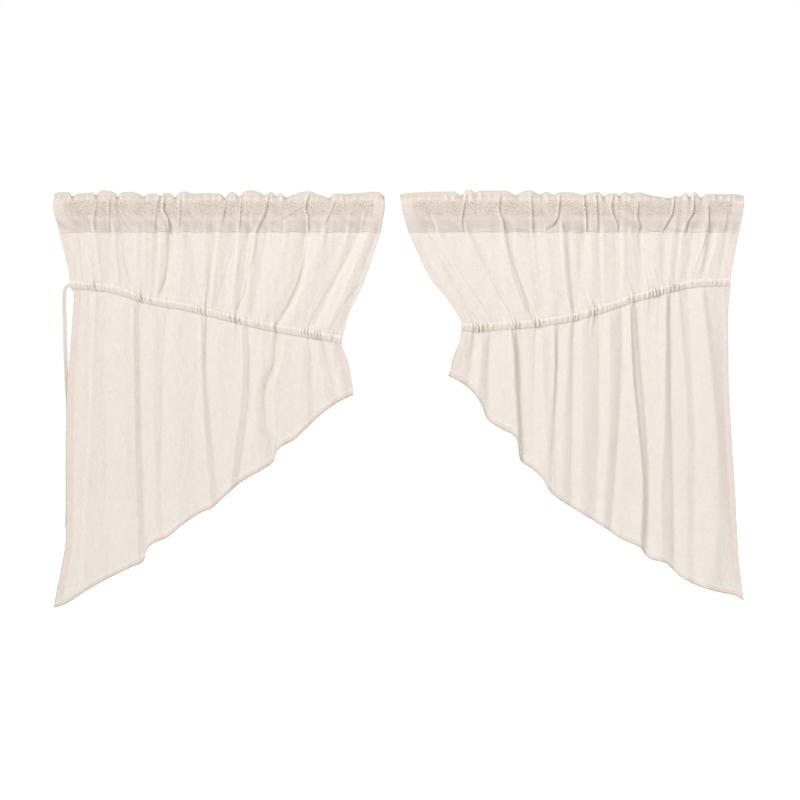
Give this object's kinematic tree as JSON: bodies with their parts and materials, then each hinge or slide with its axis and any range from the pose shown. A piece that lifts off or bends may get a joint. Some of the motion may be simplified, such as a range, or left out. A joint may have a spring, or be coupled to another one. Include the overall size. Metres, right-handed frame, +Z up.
{
  "type": "pair of swag and tail drapes",
  "caption": "Sheer gathered swag and tail drapes with a ruffled rod pocket, a slanting ruched casing, a free tie and a diagonal hem, as hung from one rod.",
  "frame": {"origin": "on the axis of the rod pockets, halfway between the two drapes", "axes": "+X along the rod to the right as seen from the front, +Y towards the back of the cloth, +Z up"},
  "size_m": [1.5201, 0.0343, 0.9194],
  "materials": {
    "sheer_cloth": "semi-sheer plain-weave cotton with slubs, ivory",
    "doubled_cloth": "two layers of the same plain-weave cotton, ivory",
    "casing_cloth": "ruched plain-weave cotton strip, ivory",
    "tie_cloth": "narrow folded and stitched plain-weave cotton, ivory"
  },
  "bodies": {
    "root": {"heading_left": "doubled_cloth", "heading_right": "doubled_cloth", "panel_left": "sheer_cloth", "panel_right": "sheer_cloth", "casing_left": "casing_cloth", "casing_right": "casing_cloth", "tie_left": "tie_cloth"}
  },
  "joints": []
}
